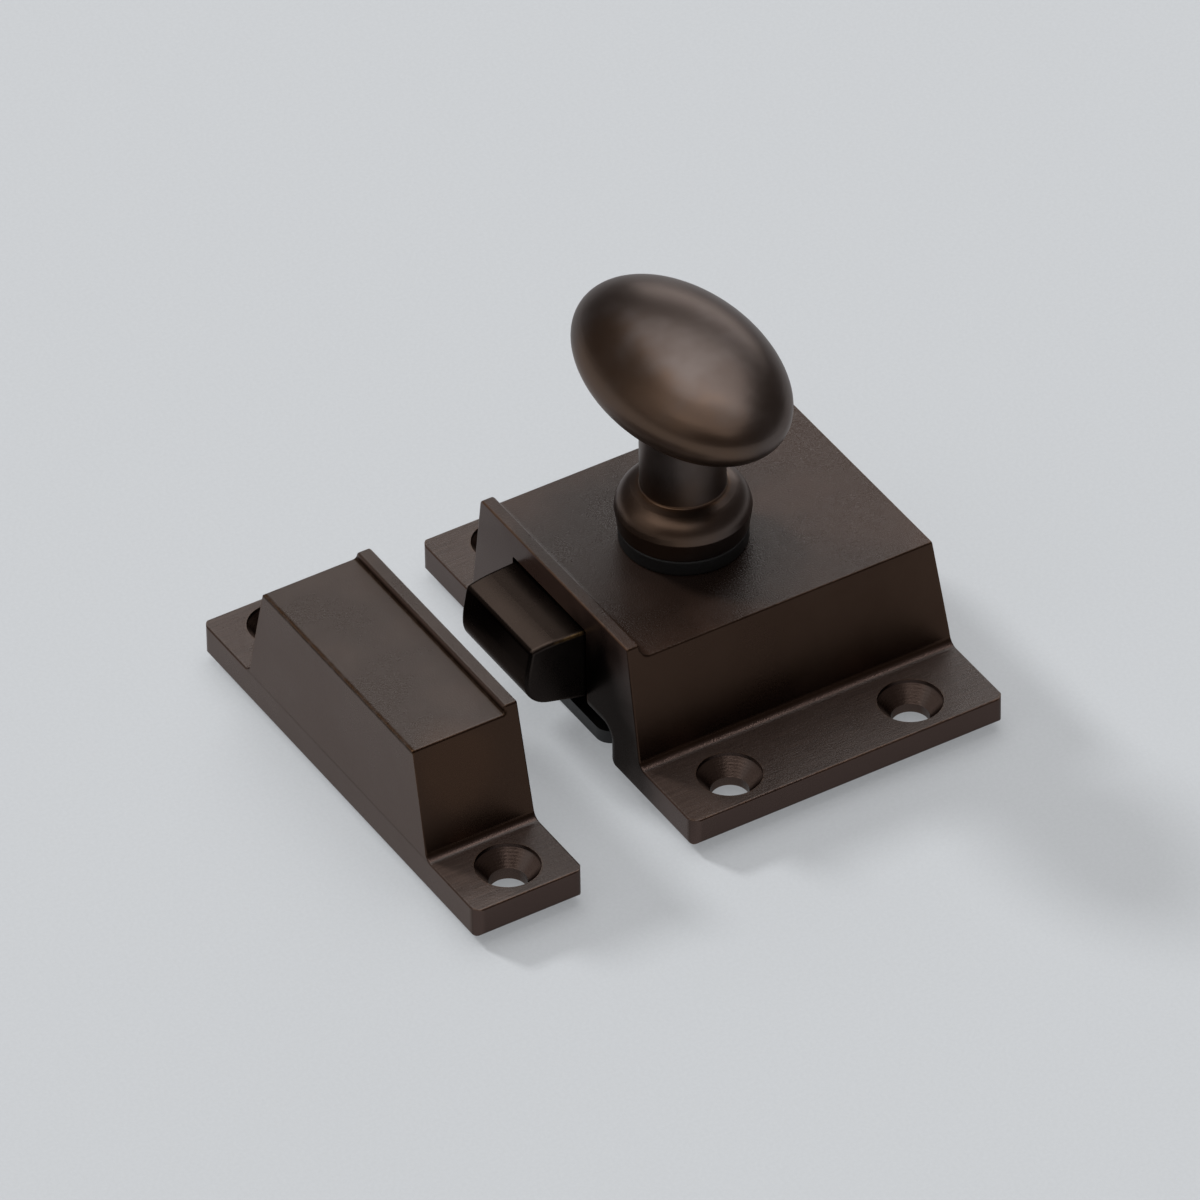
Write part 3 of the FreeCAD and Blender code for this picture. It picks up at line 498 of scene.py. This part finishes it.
def coilSpring(look):
    low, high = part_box("bolt_spring")
    wire = look["wire"] * mm
    first = low.x + wire
    last = high.x - wire
    middle = (low + high) / 2
    count = int(look["turns"] * look["steps"])
    mesh = bmesh.new()
    rings = []
    for i in range(count + 1):
        part = i / count
        angle = 2 * math.pi * look["turns"] * part
        along = Vector((first + (last - first) * part, 0, 0))
        out = Vector((0, math.cos(angle), math.sin(angle)))
        centre = along + out * look["coil"] * mm + Vector((0, middle.y, middle.z))
        ring = []
        for k in range(look["around"]):
            turn = 2 * math.pi * k / look["around"]
            rim = out * math.cos(turn) + Vector((1, 0, 0)) * math.sin(turn)
            ring.append(mesh.verts.new(centre + rim * wire))
        rings.append(ring)
    for before, after in zip(rings, rings[1:]):
        for k in range(look["around"]):
            following = (k + 1) % look["around"]
            mesh.faces.new((before[k], before[following], after[following], after[k]))
    mesh.faces.new(rings[0][::-1])
    mesh.faces.new(rings[-1])
    bmesh.ops.recalc_face_normals(mesh, faces=mesh.faces)
    data = bpy.data.meshes.new("coilSpring")
    mesh.to_mesh(data)
    mesh.free()
    data.shade_smooth()
    spring = bpy.data.objects.new("coilSpring", data)
    scene.collection.objects.link(spring)
    data.materials.append(steel)
    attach(spring, "case")
    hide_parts("bolt_spring")
    return spring


spring = coilSpring(springLook)
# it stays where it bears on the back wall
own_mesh(spring)
print("spring wound")


# pale floor, just under the parts, so that their shadows keep off the near edges

floorLook = {
    "colour": (0.265, 0.275, 0.285),
    "glow": (0.245, 0.254, 0.264),
    "size": 6.0,
    "drop": 1.2,
    "grain": 2.5,
    "grainShare": 0.05,
}


def paleFloor(look):
    half = look["size"] / 2
    level = -look["drop"] * mm
    data = bpy.data.meshes.new("paleFloor")
    signs = [(-1, -1), (1, -1), (1, 1), (-1, 1)]
    data.from_pydata([(half * a, half * b, level) for a, b in signs], [], [(0, 1, 2, 3)])
    floor = bpy.data.objects.new("paleFloor", data)
    scene.collection.objects.link(floor)
    material, tree, surface = newMaterial("floorPaper")
    surface.inputs["Base Color"].default_value = rgb(look["colour"])
    surface.inputs["Roughness"].default_value = 1.0
    surface.inputs["Specular IOR Level"].default_value = 0.0
    surface.inputs["Emission Color"].default_value = rgb(look["glow"])
    grain = noise(tree, millimetres(tree), look["grain"], 2.0, 0.7)
    glow = fade(tree, grain, 0.2, 0.8, 1.0 - look["grainShare"], 1.0 + look["grainShare"])
    tree.links.new(glow, surface.inputs["Emission Strength"])
    data.materials.append(material)


paleFloor(floorLook)

# light: two large softboxes high up, reflectors at the left and low behind, and a key for the
# shadow that doesn't show in the metal

# azimuth from +X towards +Y; radiance in watts per square metre and steradian
lightLook = {
    "world": (0.128, 0.112, 0.104),
    "distance": 1.6,
    "overhead": {"azimuth": 58.0, "elevation": 68.0, "size": (1.5, 1.55), "radiance": 1.9},
    "left": {"azimuth": 172.0, "elevation": 32.0, "size": (1.3, 1.3), "radiance": 0.4},
    "back": {"azimuth": 48.0, "elevation": 16.0, "size": (1.0, 0.3), "radiance": 3.2},
    "zenith": {"azimuth": -150.0, "elevation": 74.0, "size": (2.0, 2.0), "radiance": 0.85},
    "key": {"azimuth": 113.5, "elevation": 36.5, "angle": 10.0, "strength": 2.7},
}


def towards(look):
    turn, rise = math.radians(look["azimuth"]), math.radians(look["elevation"])
    flat = math.cos(rise)
    return Vector((math.cos(turn) * flat, math.sin(turn) * flat, math.sin(rise)))


def softPanel(name, look):
    lamp = bpy.data.lights.new(name, "AREA")
    lamp.shape = "RECTANGLE"
    lamp.size, lamp.size_y = look["size"]
    lamp.energy = look["radiance"] * math.pi * lamp.size * lamp.size_y
    panel = bpy.data.objects.new(name, lamp)
    scene.collection.objects.link(panel)
    back = towards(look)
    panel.location = back * lightLook["distance"]
    panel.rotation_euler = back.to_track_quat("Z", "Y").to_euler()
    panel.visible_camera = False


def keyLight(look):
    lamp = bpy.data.lights.new("keyLight", "SUN")
    lamp.angle = math.radians(look["angle"])
    lamp.energy = look["strength"]
    key = bpy.data.objects.new("keyLight", lamp)
    scene.collection.objects.link(key)
    back = towards(look)
    key.rotation_euler = back.to_track_quat("Z", "Y").to_euler()
    key.visible_glossy = False


for name in ("overhead", "left", "back", "zenith"):
    softPanel(name + "Panel", lightLook[name])
keyLight(lightLook["key"])
world = bpy.data.worlds.new("studio")
world.use_nodes = True
world.node_tree.nodes["Background"].inputs["Color"].default_value = rgb(lightLook["world"])
scene.world = world

# camera: long lens, a little rolled, where the photograph was taken from

# azimuth from -Y towards +X
cameraLook = {
    "target": (-0.005202, 0.011283, 0.0),
    "azimuth": -30.91,
    "elevation": 39.416,
    "distance": 1.44978,
    "roll": -0.927,
    "lens": 443.92,
    "sensor": 36.0,
    "farthest": 20.0,
}


def addCamera(look):
    turn, rise = math.radians(look["azimuth"]), math.radians(look["elevation"])
    roll = math.radians(look["roll"])
    flat = math.cos(rise)
    back = Vector((math.sin(turn) * flat, -math.cos(turn) * flat, math.sin(rise)))
    right = Vector((math.cos(turn), math.sin(turn), 0))
    up = back.cross(right)
    turnedRight = right * math.cos(roll) + up * math.sin(roll)
    turnedUp = up * math.cos(roll) - right * math.sin(roll)
    lens = bpy.data.cameras.new("camera")
    lens.lens = look["lens"]
    lens.sensor_width = look["sensor"]
    lens.clip_end = look["farthest"]
    camera = bpy.data.objects.new("camera", lens)
    scene.collection.objects.link(camera)
    pose = Matrix((turnedRight, turnedUp, back)).transposed().to_4x4()
    pose.translation = Vector(look["target"]) + back * look["distance"]
    camera.matrix_world = pose
    scene.camera = camera


addCamera(cameraLook)
print("floor, light and camera set")
